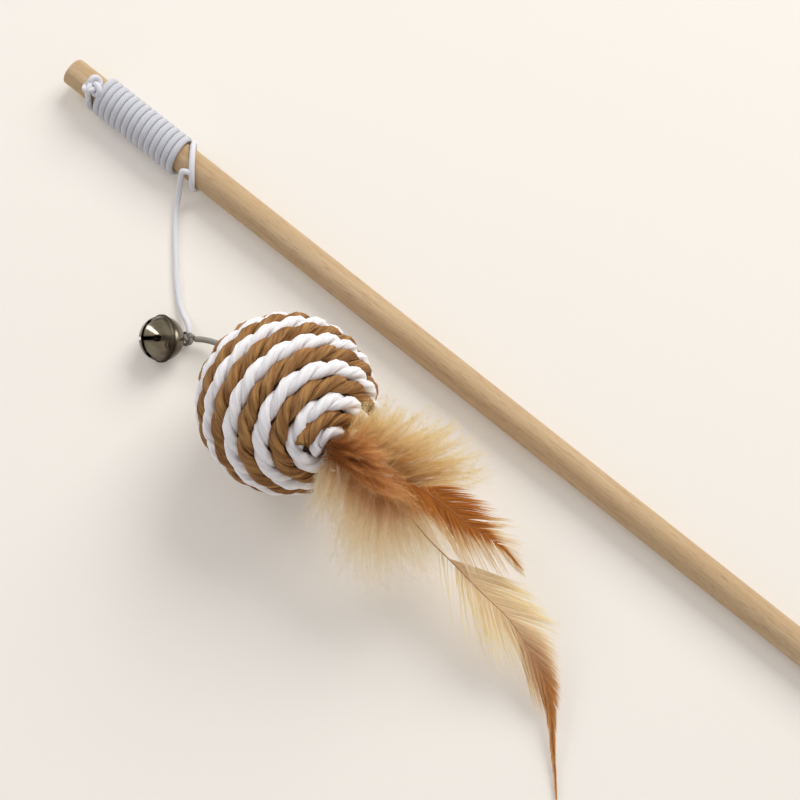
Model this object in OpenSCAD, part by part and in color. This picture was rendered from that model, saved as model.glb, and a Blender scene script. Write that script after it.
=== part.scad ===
// Cat teaser wand: a wooden rod, an elastic cord tied and wound at its tip, a jingle bell on the
// cord, and a ball wound with two colours of paper rope that carries a tuft of feathers.
// Frame: the origin is the centre of the rod's butt end, +X runs along the rod to its tip, +Y is
// the side where the lure lies and +Z is up. The wand lies on a table that touches the rod's butt
// and the cord winding.

/* [Rod] */
// Diameter of the rod
rod_d = 8; // [6:0.5:9]
// Length of the rod
rod_len = 400; // [380:5:600]
// Diameter of the rod at its tip
tip_d = 7.8; // [5.6:0.1:8]
// Length of the slight taper behind the tip
taper_len = 50; // [46:1:80]
// Rounding of the edge at the tip
tip_round = 0.6; // [0.2:0.1:1]

/* [Elastic cord] */
// Thickness of the cord
cord_d = 1.6; // [1.2:0.1:1.8]
// Turns of the winding
winding_turns = 14; // [8:1:20]
// Gap between two turns of the winding
turn_gap = 0.47; // [0.45:0.01:0.8]
// Lean of each turn along the rod
turn_lean = 0.3; // [0:0.05:0.6]
// Distance from the tip to the first turn
winding_from_tip = 11.7; // [10:0.1:20]
// Slack of the first turn, between the knot and the winding
first_turn_slack = 1.9; // [0:0.1:2.5]
// Length along the rod of the hitch that locks the winding
hitch_len = 7.9; // [6:0.1:10]
// Radius of the knot at the tip
tip_knot_r = 1.2; // [1:0.05:1.3]
// Length of the cord's free end behind the knot
free_end = 3; // [2:0.1:4]

/* [Bell] */
// Diameter of the bell
bell_d = 12; // [11:0.5:13]
// Thickness of the bell's sheet
bell_wall = 0.4; // [0.3:0.05:0.6]
// How far the crimped seam stands out
seam_out = 0.4; // [0.2:0.05:0.6]
// Thickness of each shell's seam flange
seam_t = 0.35; // [0.25:0.05:0.5]
// Width of the slots
slot_w = 1; // [0.6:0.1:1.4]
// Radius of the round hole that ends each slot
slot_end_r = 0.9; // [0.8:0.1:1.1]
// Diameter of the steel pellet inside
pellet_d = 4; // [3:0.5:5]
// Wire thickness of the eye
eye_wire_d = 0.8; // [0.7:0.05:1]
// Radius of the eye's hole
eye_hole_r = 1.15; // [1.15:0.05:1.5]
// Radius of the knot beside the eye
bell_knot_r = 1.15; // [1:0.05:1.25]

/* [Ball] */
// Diameter of the foam core
core_d = 38; // [34:0.5:42]
// Thickness of the paper rope
rope_d = 4.1; // [3.6:0.1:4.4]
// Distance between neighbouring ropes
rope_pitch = 4.26; // [4.2:0.02:5]
// Distance from the pole to the start of the white rope
white_from_pole = 3.3; // [3.2:0.1:5]
// Distance from the pole to the start of the brown rope
brown_from_pole = 4.25; // [4:0.05:6]
// Radius of the knot that stops the cord inside the ball
stop_knot_r = 1.9; // [1.6:0.1:2.2]

/* [Feathers] */
// Length of the long feather
feather_long_len = 110; // [90:1:116]
// Half width of the long feather
feather_long_w = 9; // [5:0.5:10]
// Length of the short feather
feather_short_len = 58; // [45:1:62]
// Half width of the short feather
feather_short_w = 7; // [4:0.5:8]
// Half thickness of a feather
feather_t = 0.5; // [0.3:0.05:0.7]
// Length that the spines of the plumes follow
plume_len = 45; // [40:1:48]
// Radius of the plumes
plume_r = 6; // [3:0.5:6]
// Radius of the bead of glue that gathers the quills
bead_r = 1.8; // [1.5:0.1:2]

/* [Hidden] */

$fn = 64;
// Overrun of a cut
over = 1;
// Gap at which two pieces of one body meet face to face
face_gap = 0.02;
// Running clearance between pieces that move
clearance = 0.35;
// Lift of the winding off the rod, which its facets need
winding_lift = 0.06;
// Lift of the rope off the ball's core, which its facets need
rope_lift = 0.25;

rod_r = rod_d / 2;
tip_r = tip_d / 2;
cord_r = cord_d / 2;
turn_pitch = cord_d + turn_gap;
winding_sides = 6;
rings_a_turn = 24;
cord_sides = 8;

// The winding starts beside the knot on top of the rod and ends under the rod
winding_first_angle = 115;
winding_last_angle = 360 * winding_turns + 270;
first_edge_x = rod_len - winding_from_tip;
hitch_x = first_edge_x - turn_pitch * (winding_turns - 1) - turn_gap - cord_d;
hitch_last_angle = 615;
knot_seat_share = 0.75;
knot_out = rod_r + tip_knot_r * knot_seat_share;
lump_share = 0.88;
lump_r = tip_knot_r * lump_share;

bell_r = bell_d / 2;
seam_r = bell_r + seam_out;
pellet_r = pellet_d / 2;
eye_wire_r = eye_wire_d / 2;
eye_ring_r = eye_hole_r + eye_wire_r;
// Height of the eye's hole over the bell's centre
eye_up = bell_r + eye_ring_r;
// Distance from the plane of the eye to the knot beside it
eye_to_knot = eye_wire_r + clearance + bell_knot_r;
// The eye points along this tilt from up and this turn from +X
bell_tilt = 125.6;
bell_turn = 235.6;
bell_spin = 24.9;
// Centre of the knot beside the bell's eye, where the lead ends and the link starts
knot_at = [323.4, 37.5, -2.4];
slot_reach_share = 0.7;

core_r = core_d / 2;
rope_r = rope_d / 2;
rope_line_r = core_r + rope_r + rope_lift;
ball_r = rope_line_r + rope_r;
// The feathers leave the ball along this tilt from up and this turn from +X
ball_tilt = 57.4;
ball_turn = 166.1;
ball_at = [286, 39.5, 18.15];
// Turn about the ball's axis at which each rope starts
white_first_angle = 90.6;
brown_first_angle = 231.3;
bore_r = cord_r + clearance;
chamber_r = stop_knot_r + 2 * clearance;
chamber_floor = -stop_knot_r - clearance;
neck_share = 1.03;
neck_r = white_from_pole - rope_r * neck_share;
bead_up = ball_r + bead_r + face_gap;

// Route of the lead: from the hitch down to the table and up to the bell's knot
LEAD = [
    [355.4, 4.1, 3.3], [355, 5.5, 1.2], [354.4, 6.7, -1.2], [353.4, 8.7, -3.1],
    [352, 11, -4.3], [349.8, 13.9, -4.7], [347, 17, -4.7], [344.2, 20.1, -4.7],
    [341.2, 23.2, -4.7], [338.2, 26.3, -4.6], [335.2, 29.1, -4.6], [332.4, 31.4, -4.4],
    [329.7, 33, -3.8], [327.4, 34.1, -2.9], [325.6, 35.2, -2.2], [324.1, 36.6, -2.1]
];
// Route of the link from the bell's knot to the ball's bore; the bore's axis carries it on
LINK = [
    [322.2, 36.6, -2.3], [320, 35.2, -2], [317, 34.2, -1], [313.7, 33.8, 0.6],
    [310.4, 33.8, 2.4]
];

// Unit vector along v
function unit(v) = v / norm(v);
// Unit vector of a tilt from +Z and a turn from +X
function heading(tilt, turn) = [sin(tilt) * cos(turn), sin(tilt) * sin(turn), cos(tilt)];
// Point of a frame that is tilted about Y and then turned about Z
function tilted(p, tilt, turn) =
    let (x = p[0] * cos(tilt) + p[2] * sin(tilt), z = p[2] * cos(tilt) - p[0] * sin(tilt))
    [x * cos(turn) - p[1] * sin(turn), x * sin(turn) + p[1] * cos(turn), z];
// Direction of a line at its point i
function along(line, i) =
    unit(line[min(i + 1, len(line) - 1)] - line[max(i - 1, 0)]);
// Ring of points round p, square to t; ref is where the ring's first corner lies
function ring(p, t, ref, wide, high, sides) =
    let (n2 = unit(ref - (ref * t) * t), n1 = cross(n2, t))
    [for (k = [0:sides - 1]) let (a = 90 + 360 * k / sides)
        p + wide * cos(a) * n1 + high * sin(a) * n2];
// Smooth line through points, each stretch in a number of steps
function smooth(pts, steps) = [
    for (i = [0:len(pts) - 2], j = [0:steps - 1]) let (
        u = j / steps,
        a = pts[max(i - 1, 0)], b = pts[i], c = pts[i + 1], d = pts[min(i + 2, len(pts) - 1)])
        b + ((c - a) * u + (2 * a - 5 * b + 4 * c - d) * u * u
            + (3 * b - a - 3 * c + d) * u * u * u) / 2,
    pts[len(pts) - 1]
];
// Least gap of a wound tube to its own next turn, from the points of its centre line
function least_gap(line, d) =
    min([for (i = [0:len(line) - 1], j = [i + rings_a_turn / 2:i + rings_a_turn * 3 / 2])
        if (j < len(line)) norm(line[i] - line[j])]) - d;

// Closed solid through rings that have one number of points
module loft(rings) {
    n = len(rings);
    s = len(rings[0]);
    polyhedron(
        points = [for (r = rings) each r],
        faces = [
            for (k = [1:s - 2]) [0, k, k + 1],
            for (i = [0:n - 2], k = [0:s - 1]) let (a = i * s + k, b = i * s + (k + 1) % s)
                each [[a, a + s, b + s], [a, b + s, b]],
            for (k = [1:s - 2]) let (e = (n - 1) * s) [e, e + k + 1, e + k]
        ]
    );
}

// Tube of radius r along a line; refs are the directions of the rings' first corners
module tube(line, refs, r, sides) {
    loft([for (i = [0:len(line) - 1]) ring(line[i], along(line, i), refs[i], r, r, sides)]);
}

// Radius of the rod at x
function rod_r_at(x) = rod_r + (tip_r - rod_r) * max(x - rod_len + taper_len, 0) / taper_len;
// Point over the rod's surface at x; angle 0 is the -Y side and 90 is the top
function over_rod(x, angle, lift) =
    [x, -(rod_r_at(x) + lift) * cos(angle), (rod_r_at(x) + lift) * sin(angle)];
function out_of_rod(p) = unit([0, p[1], p[2]]);

module rod() {
    color("burlywood")
    rotate([0, 90, 0])
    rotate_extrude()
    polygon([
        [0, 0], [rod_r, 0], [rod_r, rod_len - taper_len],
        for (a = [0:15:90])
            [tip_r - tip_round * (1 - cos(a)), rod_len - tip_round * (1 - sin(a))],
        [0, rod_len]
    ]);
}

// Place of the winding along the rod at an angle, with its slack first turn
function winding_x(a) =
    first_edge_x - turn_pitch * (a - 360) / 360 + turn_lean * (cos(a) - 1)
    + first_turn_slack * pow(max(360 - a, 0) / (360 - winding_first_angle), 2);
winding_coil = [
    for (i = [0:(winding_last_angle - winding_first_angle) * rings_a_turn / 360])
        let (a = winding_first_angle + 360 * i / rings_a_turn)
        over_rod(winding_x(a), a, cord_r + winding_lift)
];
winding_start = winding_coil[0] - cord_d * unit(winding_coil[1] - winding_coil[0]);
winding_foot = over_rod(winding_x(winding_last_angle), 270, cord_r + winding_lift);
winding_end = winding_foot - [0, cord_d, 0];
winding_line = [winding_start, each winding_coil, winding_foot, winding_end];

module cord_winding() {
    line = winding_line;
    color("white")
    tube(line, [for (p = line) out_of_rod(p)], cord_r, winding_sides);
}

// The knot: three rounded lumps, the cord's free end and a stub that meets the winding
module tip_knot() {
    x = winding_start[0];
    color("white")
    difference() {
        union() {
            translate([x, -cord_r, knot_out]) sphere(r = tip_knot_r);
            translate([x + cord_d, -cord_r / 2, knot_out]) sphere(r = lump_r);
            translate([x + cord_d + cord_r / 2, cord_r, knot_out]) sphere(r = lump_r);
            translate([x + cord_d, -cord_r / 2, knot_out]) rotate([0, 90, 0])
                cylinder(r = cord_r, h = free_end);
            stub();
        }
        rotate([0, 90, 0]) cylinder(r = rod_r, h = rod_len);
    }
}

// Strand of the knot that meets the winding's first end face to face
module stub() {
    d = unit(winding_coil[0] - winding_coil[1]);
    translate(winding_start + face_gap * d)
    rotate([0, acos(d[2]), atan2(d[1], d[0])])
    cylinder(r = cord_r, h = cord_d);
}

// The hitch rises beside the last turn, crosses the rod on top and is tucked under it
function hitch_at(a) =
    hitch_x - hitch_len * (1 - cos(min(max(a - 360, 0), 180))) / 2;
hitch_rise_angle = 295;
hitch_line = [
    winding_end - [0, face_gap, 0],
    winding_end - [0, face_gap + cord_r / 2, 0],
    for (a = [hitch_rise_angle:360 / rings_a_turn:hitch_last_angle])
        over_rod(hitch_at(a), a, cord_r + winding_lift)
];

module cord_hitch() {
    color("whitesmoke")
    tube(hitch_line, [for (p = hitch_line) out_of_rod(p)], cord_r, cord_sides);
}

lead_up = [for (p = LEAD) [0, 0, 1]];
module cord_lead() {
    color("ghostwhite")
    tube(LEAD, lead_up, cord_r, cord_sides);
}

// Places things in the bell's frame: centre at 0, eye along +Z, slots along X and Y
module in_bell() {
    translate(knot_at)
    rotate([0, bell_tilt, bell_turn])
    rotate([0, 0, bell_spin])
    translate([eye_to_knot, 0, -eye_up])
    children();
}

// The knot and the strand that it sends through the eye
module bell_knot() {
    color("white")
    in_bell() translate([-eye_to_knot, 0, eye_up]) rotate([0, 90, 0]) {
        sphere(r = bell_knot_r);
        cylinder(r = cord_r, h = eye_to_knot + eye_wire_d);
    }
}

// Half of the bell with its seam flange, on the +Z side
module half_shell() {
    intersection() {
        difference() {
            union() {
                sphere(r = bell_r);
                cylinder(r = seam_r, h = seam_t);
            }
            sphere(r = bell_r - bell_wall);
        }
        translate([0, 0, face_gap / 2]) cylinder(r = seam_r + over, h = bell_d);
    }
}

module bell_upper_shell() {
    color("darkkhaki")
    in_bell() half_shell();
}

module bell_lower_shell() {
    reach = bell_r * slot_reach_share;
    color("gray")
    in_bell() mirror([0, 0, 1]) difference() {
        half_shell();
        for (turn = [0, 90]) rotate([0, 0, turn]) {
            translate([-reach, -slot_w / 2, seam_t]) cube([2 * reach, slot_w, bell_d]);
            for (side = [-reach, reach])
                translate([side, 0, seam_t]) cylinder(r = slot_end_r, h = bell_d);
        }
    }
}

module bell_eye() {
    color("silver")
    in_bell() difference() {
        translate([0, 0, eye_up]) rotate([0, 90, 0])
            rotate_extrude() translate([eye_ring_r, 0]) circle(r = eye_wire_r);
        sphere(r = bell_r + face_gap);
    }
}

// The pellet lies at the low end of the bell, beside the eye
module bell_pellet() {
    color("dimgray")
    in_bell() translate([0, 0, bell_r - bell_wall - clearance - pellet_r]) sphere(r = pellet_r);
}

// Places things in the ball's frame: centre at 0, feathers along +Z
module in_ball() {
    translate(ball_at) rotate([0, ball_tilt, ball_turn]) children();
}
function ball_point(p) = ball_at + tilted(p, ball_tilt, ball_turn);

// The link follows its route and then the bore's axis, to the stop knot
link_line = [
    each LINK,
    for (z = [-ball_r - rope_d / 2:rope_d:chamber_floor - rope_d]) ball_point([0, 0, z]),
    ball_point([0, 0, -stop_knot_r - face_gap])
];

module cord_link() {
    color("lightgray")
    tube(link_line, [for (p = link_line) [0, 0, 1]], cord_r, cord_sides);
}

module ball_stop_knot() {
    color("lightgray")
    in_ball() sphere(r = stop_knot_r);
}

module ball_core() {
    color("tan")
    in_ball() difference() {
        sphere(r = core_r);
        translate([0, 0, -ball_r]) cylinder(r = bore_r, h = ball_r);
        translate([0, 0, chamber_floor]) cylinder(r = chamber_r, h = 2 * core_r);
    }
}

// A rope spirals over the ball from one pole to the other, a pair of rope widths each turn
function rope_line(from_pole, first_angle) =
    let (
        start = asin(from_pole / rope_line_r),
        step = 360 * rope_pitch / (PI * rope_line_r),
        turns = (180 - 2 * start) / step)
    [for (i = [0:turns * rings_a_turn])
        ball_point(rope_line_r * heading(start + step * i / rings_a_turn,
            first_angle - 360 * i / rings_a_turn))];

module rope(line, tint) {
    color(tint)
    tube(line, [for (p = line) unit(p - ball_at)], rope_r, winding_sides);
}
white_line = rope_line(white_from_pole, white_first_angle);
brown_line = rope_line(brown_from_pole, brown_first_angle);
module rope_white() { rope(white_line, "snow"); }
module rope_brown() { rope(brown_line, "peru"); }

// The plug fills the core's chamber; its neck passes between the ropes to the bead of glue
module feather_plug() {
    plug_foot = stop_knot_r + clearance;
    color("sienna")
    in_ball() {
        intersection() {
            translate([0, 0, plug_foot]) cylinder(r = chamber_r - face_gap, h = core_r);
            sphere(r = core_r);
        }
        cylinder_between(plug_foot, bead_up, neck_r);
        translate([0, 0, bead_up]) sphere(r = bead_r);
    }
}
module cylinder_between(low, high, r) {
    translate([0, 0, low]) cylinder(r = r, h = high - low);
}

// A feather or plume leaves the bead along its first share; shares times a length are places
bead_at = ball_point([0, 0, bead_up]);
function spine(shares, length) = smooth([
    bead_at + unit(shares[0]) * (bead_r + clearance),
    for (s = shares) bead_at + s * length
], 3);

// Shares of a feather's half width along its spine, from the bare quill to the tip
vane_shares = [[0, 0.06], [0.12, 0.08], [0.3, 0.75], [0.45, 1], [0.65, 0.8], [0.82, 0.4], [1, 0.06]];
module feather(shares, length, half_width) {
    line = spine(shares, length);
    last = len(line) - 1;
    loft([for (i = [0:last])
        ring(line[i], along(line, i), [0, 0, 1],
            half_width * lookup(i / last, vane_shares), feather_t, cord_sides)]);
}

module feather_long() {
    color("goldenrod")
    feather([
        [-0.109, 0, -0.06], [-0.203, -0.008, -0.067], [-0.281, -0.003, -0.104],
        [-0.34, -0.005, -0.139], [-0.43, -0.005, -0.185], [-0.522, -0.004, -0.22],
        [-0.598, 0.015, -0.247], [-0.665, 0.042, -0.275], [-0.719, 0.083, -0.292],
        [-0.765, 0.13, -0.309], [-0.811, 0.178, -0.32], [-0.857, 0.227, -0.325]
    ], feather_long_len, feather_long_w);
}

module feather_short() {
    color("chocolate")
    feather([
        [-0.18, -0.057, 0.02], [-0.31, -0.1, -0.05], [-0.417, -0.107, -0.102],
        [-0.522, -0.117, -0.153], [-0.622, -0.134, -0.203], [-0.715, -0.159, -0.255],
        [-0.809, -0.186, -0.307], [-0.9, -0.2, -0.359]
    ], feather_short_len, feather_short_w);
}

// Share of a plume's radius along its spine, narrow at the root and round at the end
plume_end_share = 0.12;
function plume_share(u) =
    plume_end_share + (1 - plume_end_share) * pow(max(sin(180 * pow(u, 0.9)), 0), 1.3);
plume_sides = 10;
module plume(shares, size_share) {
    line = spine(shares, plume_len);
    last = len(line) - 1;
    loft([for (i = [0:last]) let (r = plume_r * size_share * plume_share(i / last))
        ring(line[i], along(line, i), [0, 1, 0.2], r, r, plume_sides)]);
}

module plume_upper() {
    color("wheat")
    plume([
        [-0.18, -0.235, -0.06], [-0.315, -0.39, -0.16], [-0.45, -0.525, -0.305],
        [-0.56, -0.59, -0.44]
    ], 1);
}
module plume_lower() {
    color("tan")
    plume([
        [-0.18, 0.13, -0.08], [-0.34, 0.19, -0.22], [-0.47, 0.22, -0.42],
        [-0.56, 0.22, -0.58]
    ], 0.9);
}
module plume_left() {
    color("navajowhite")
    plume([[-0.03, 0.2, -0.15], [-0.05, 0.3, -0.34], [-0.07, 0.33, -0.5]], 0.5);
}
module plume_under() {
    color("moccasin")
    plume([
        [-0.15, -0.02, -0.25], [-0.28, -0.04, -0.42], [-0.41, -0.06, -0.58],
        [-0.5, -0.06, -0.7]
    ], 0.85);
}
module plume_tuft() {
    color("saddlebrown")
    plume([[-0.16, 0.02, 0.1], [-0.32, 0, 0.1], [-0.46, -0.03, 0.05]], 0.45);
}

union() {
    echo(winding_least_gap = least_gap(winding_line, cord_d));
    echo(rope_white_least_gap = least_gap(white_line, rope_d));
    echo(rope_brown_least_gap = least_gap(brown_line, rope_d));
}
rod();
cord_winding();
tip_knot();
cord_hitch();
cord_lead();
bell_knot();
bell_upper_shell();
bell_lower_shell();
bell_eye();
bell_pellet();
cord_link();
ball_stop_knot();
ball_core();
rope_white();
rope_brown();
feather_plug();
feather_long();
feather_short();
plume_upper();
plume_lower();
plume_left();
plume_under();
plume_tuft();
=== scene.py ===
# %% [markdown]
# # A cat teaser wand
#
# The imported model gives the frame: a wooden rod, an elastic cord wound at its tip, a jingle bell
# and a ball of paper rope with feathers. This lesson keeps the rigid solids that already have
# the right shape, gives each a finish, and builds the soft pieces anew in the places of theirs.

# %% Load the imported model
import itertools
import math
import random

import bmesh
import bpy
import numpy as np
from mathutils import Matrix, Vector, noise


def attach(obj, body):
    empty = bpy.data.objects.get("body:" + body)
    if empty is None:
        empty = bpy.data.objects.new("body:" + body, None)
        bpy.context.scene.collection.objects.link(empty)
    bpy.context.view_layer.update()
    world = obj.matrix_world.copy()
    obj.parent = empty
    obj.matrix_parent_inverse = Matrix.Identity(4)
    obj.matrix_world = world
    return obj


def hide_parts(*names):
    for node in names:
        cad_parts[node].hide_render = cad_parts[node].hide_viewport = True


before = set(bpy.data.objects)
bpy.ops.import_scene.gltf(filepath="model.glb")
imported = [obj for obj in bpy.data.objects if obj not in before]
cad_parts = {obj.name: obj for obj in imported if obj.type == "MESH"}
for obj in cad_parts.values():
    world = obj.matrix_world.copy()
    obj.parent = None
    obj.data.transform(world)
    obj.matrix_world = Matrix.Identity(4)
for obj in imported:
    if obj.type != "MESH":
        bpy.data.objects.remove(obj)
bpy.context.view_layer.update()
MM = 0.001

# %% [markdown]
# ## The camera
#
# The photograph looks steeply down, a little from the butt's and the lure's side. The camera is
# placed by an azimuth, an elevation and a distance, and a long lens keeps the rod's edges nearly
# parallel.

# %% Place the camera
TARGET = Vector((268.977, 15.060, 0)) * MM
AZIMUTH, ELEVATION = math.radians(220.398), math.radians(70)
DISTANCE, NEAREST, FARTHEST = 0.7, 0.05, 20
FOCAL_PIXELS, PICTURE_SIDE = 2666.53, 800


def add(name, data):
    """A new object of the scene."""
    made = bpy.data.objects.new(name, data)
    bpy.context.scene.collection.objects.link(made)
    return made


def toward(azimuth, elevation):
    """The direction from the target out to the camera or to a lamp."""
    return Vector((
        math.sin(azimuth) * math.cos(elevation),
        -math.cos(azimuth) * math.cos(elevation),
        math.sin(elevation),
    ))


def aim(thing, out, far):
    """Stands a thing this far out from the target, looking back at it."""
    thing.location = TARGET + out * far
    thing.rotation_mode = "QUATERNION"
    thing.rotation_quaternion = (-out).to_track_quat("-Z", "Y")


back = toward(AZIMUTH, ELEVATION)
camera = add("camera", bpy.data.cameras.new("camera"))
aim(camera, back, DISTANCE)
camera.data.angle = 2 * math.atan(PICTURE_SIDE / 2 / FOCAL_PIXELS)
camera.data.clip_start, camera.data.clip_end = NEAREST, FARTHEST
bpy.context.scene.camera = camera
print("lens in mm:", round(camera.data.lens, 2))

# %% [markdown]
# ## From the picture to the table
#
# Down and barbs are groomed along guide lines. Each point of a guide is a place in the picture
# and a height over the table, which is all that is needed to find it in space.

# %% Find a point of the picture at a height over the table
BUTT_Z = -4.0 * MM
TABLE_SLOPE = 1.65 / 360
view_right = camera.rotation_quaternion @ Vector((1, 0, 0))
view_up = camera.rotation_quaternion @ Vector((0, 1, 0))


def table_z(x):
    """Height of the table under a place x along the rod."""
    return BUTT_Z - TABLE_SLOPE * x


def spot(across, down, height):
    """The point at this place of the picture and this height in millimetres over the table."""
    middle = PICTURE_SIDE / 2
    ray = -back + view_right * ((across - middle) / FOCAL_PIXELS)
    ray += view_up * ((middle - down) / FOCAL_PIXELS)
    eye = camera.location
    drop = height * MM + table_z(eye.x) - eye.z
    return eye + ray * (drop / (ray.z + TABLE_SLOPE * ray.x))


print("the picture's middle:", tuple(round(c / MM, 1) for c in spot(400, 400, 0)))

# %% [markdown]
# ## Table and light
#
# A large soft lamp stands at the upper right of the picture and low enough for the rod to fade
# from a pale edge to a brown one. The world fills the shadows. Both are plain: a surface that
# faces up comes out about as bright as its colour is written. To the camera alone, the table also
# shows a share of its plain colour, which evens it out. Polished metal shows what it mirrors, so
# it sees two lamps of its own in place of these: a long strip and a small round one.


# %% Helpers for colours and meshes
def tone(red, green, blue):
    """A colour of the screen, 0 to 255, as the linear one that shaders use."""
    def linear(c):
        c /= 255
        return c / 12.92 if c <= 0.04045 else ((c + 0.055) / 1.055) ** 2.4
    return (linear(red), linear(green), linear(blue), 1.0)


def piece_of(bm, name, smooth=True):
    """Turns a bmesh into an object of the scene."""
    mesh = bpy.data.meshes.new(name)
    bm.to_mesh(mesh)
    bm.free()
    mesh.polygons.foreach_set("use_smooth", [smooth] * len(mesh.polygons))
    return add(name, mesh)


def kept_mesh(made):
    """The mesh of an object after its modifiers, or of a curve."""
    seen_by = bpy.context.evaluated_depsgraph_get()
    return bpy.data.meshes.new_from_object(made.evaluated_get(seen_by))


# %% Lay the table
TABLE_HALF = 3.0
CREAM = tone(247, 241, 230)
bm = bmesh.new()
bmesh.ops.create_grid(bm, x_segments=1, y_segments=1, size=TABLE_HALF)
tilt = Matrix.Rotation(math.atan(TABLE_SLOPE), 4, "Y")
bmesh.ops.transform(bm, matrix=Matrix.Translation((0, 0, BUTT_Z)) @ tilt, verts=bm.verts)
table = piece_of(bm, "table", smooth=False)
print("table under the tip:", round(table_z(0.4) / MM, 2), "mm")

# %% Hang the lamps
WORLD_LEVEL, KEY_LEVEL, SIDE_LEVEL = 0.48, 0.71, 0.14
KEY_UP, SIDE_UP = 42, 38


def lamp(name, azimuth, elevation, far, size, level):
    """A square lamp that points at the target and that gloss doesn't show. Angles are in degrees.
    Level 1 lights a surface that faces it to its own colour."""
    light = bpy.data.lights.new(name, "AREA")
    light.shape, light.size = "SQUARE", size
    light.energy = level * (math.pi * far) ** 2
    body = add(name, light)
    aim(body, toward(math.radians(azimuth), math.radians(elevation)), far)
    body.visible_glossy = False
    return body


def mirror_lamp(name, azimuth, elevation, size, size_y, turn, glow):
    """A lamp that only gloss shows; glow is its brightness."""
    body = lamp(name, azimuth, elevation, 1.0, size, 0)
    light, oblong = body.data, size_y > size
    light.shape, light.size_y = "RECTANGLE" if oblong else "ELLIPSE", size_y
    area = size * size_y * (1 if oblong else math.pi / 4)
    light.energy = glow * math.pi * area
    body.rotation_quaternion @= Matrix.Rotation(math.radians(turn), 3, "Z").to_quaternion()
    body.visible_glossy = True
    body.visible_diffuse = body.visible_transmission = False


lamp("key_lamp", 5, KEY_UP, 1.5, 0.95, KEY_LEVEL)
lamp("side_lamp", 91, SIDE_UP, 1.5, 0.5, SIDE_LEVEL)
mirror_lamp("strip_lamp", 97, 36, 0.2, 1.8, -10, 12.0)
mirror_lamp("spark_lamp", -34, 9, 0.5, 0.5, 0, 9.0)
bpy.context.scene.view_settings.view_transform = "Standard"
print("level on the table:", round(WORLD_LEVEL + KEY_LEVEL * math.sin(math.radians(KEY_UP))
                                  + SIDE_LEVEL * math.sin(math.radians(SIDE_UP)), 2))

# %% [markdown]
# ## Finishes
#
# A finish is a material whose pattern is worked out by nodes. To keep the sums readable, a small
# class wraps a socket, and plus, minus and times on it add the Math nodes.


# %% A socket that can be used in sums
class Sock:
    """An output socket of a tree's nodes."""

    def __init__(self, nodes, socket):
        self.nodes, self.socket = nodes, socket

    def math(self, operation, *others):
        return self.nodes.node("Math", (self, *others), operation=operation)

    def __add__(self, other):
        return self.math("ADD", other)

    def __sub__(self, other):
        return self.math("SUBTRACT", other)

    def __rsub__(self, other):
        return self.nodes.node("Math", (other, self), operation="SUBTRACT")

    def __mul__(self, other):
        return self.math("MULTIPLY", other)

    __radd__, __rmul__ = __add__, __mul__

    def between(self, low, high):
        """0 below low, 1 above high."""
        return self.nodes.node("MapRange", {"Value": self, "From Min": low, "From Max": high},
                               clamp=True)


class Nodes:
    """A tree of shader nodes."""

    def __init__(self, tree):
        self.tree = tree

    def feed(self, socket, value):
        if isinstance(value, Sock):
            self.tree.links.new(value.socket, socket)
        else:
            socket.default_value = value

    def node(self, kind, values=(), out=0, stops=None, **settings):
        """Adds a node: its settings first, then the values or links of its sockets."""
        made = self.tree.nodes.new("ShaderNode" + kind)
        for name, value in settings.items():
            setattr(made, name, value)
        if stops:
            ramp = made.color_ramp.elements
            while len(ramp) < len(stops):
                ramp.new(0.5)
            for stop, (place, color) in zip(ramp, stops):
                stop.position, stop.color = place, color
        pairs = values.items() if isinstance(values, dict) else enumerate(values)
        for name, value in pairs:
            self.feed(made.inputs[name], value)
        return Sock(self, made.outputs[out])


class Finish(Nodes):
    """A material with one Principled shader."""

    def __init__(self, name, color, roughness, specular=0.5, metallic=0.0):
        self.material = bpy.data.materials.new(name)
        self.material.use_nodes = True
        super().__init__(self.material.node_tree)
        self.shader = self.tree.nodes["Principled BSDF"]
        self.material.diffuse_color = color
        for label, value in (("Base Color", color), ("Roughness", roughness),
                             ("Specular IOR Level", specular), ("Metallic", metallic)):
            self.feed(self.shader.inputs[label], value)

    def place(self, scale=(1, 1, 1), where="Object"):
        """Coordinates, stretched by a scale."""
        found = self.node("TexCoord", out=where)
        return self.node("Mapping", {"Vector": found, "Scale": scale})

    def mark(self, label):
        """What a mesh attribute says."""
        return self.node("Attribute", attribute_name=label, out="Fac")

    def noise(self, where, scale, detail=3.0, rough=0.5, **more):
        return self.node("TexNoise", {
            "Vector": where, "Scale": scale, "Detail": detail, "Roughness": rough, **more})

    def mix(self, share, first, second):
        """A mix of two colours."""
        made = self.tree.nodes.new("ShaderNodeMix")
        made.data_type = "RGBA"
        for name, value in (("Factor_Float", share), ("A_Color", first), ("B_Color", second)):
            socket = next(s for s in made.inputs if s.identifier == name)
            self.feed(socket, value)
        result = next(s for s in made.outputs if s.identifier == "Result_Color")
        return Sock(self, result)

    def color(self, value):
        self.feed(self.shader.inputs["Base Color"], value)

    def rough(self, value):
        self.feed(self.shader.inputs["Roughness"], value)

    def bump(self, height, depth, strength=1.0):
        """Height 0 to 1 stands for a depth in millimetres."""
        made = self.node("Bump", {"Strength": strength, "Distance": depth * MM, "Height": height})
        self.feed(self.shader.inputs["Normal"], made)

    def blend_in(self, share, other):
        """Mixes a share of another shader into the Principled one."""
        first = Sock(self, self.shader.outputs[0])
        self.feed(self.tree.nodes["Material Output"].inputs["Surface"],
                  self.node("MixShader", (share, first, other)))


def dress(piece, finish):
    """Gives a whole piece one finish."""
    slots = piece.data.materials
    slots.clear()
    slots.append(finish.material)


def stand_in(piece, finish, body, node=None):
    """Dresses a new piece, lets it ride on a body and hides the solid that it replaces."""
    dress(piece, finish)
    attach(piece, body)
    if node:
        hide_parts(node)
    return piece


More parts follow.
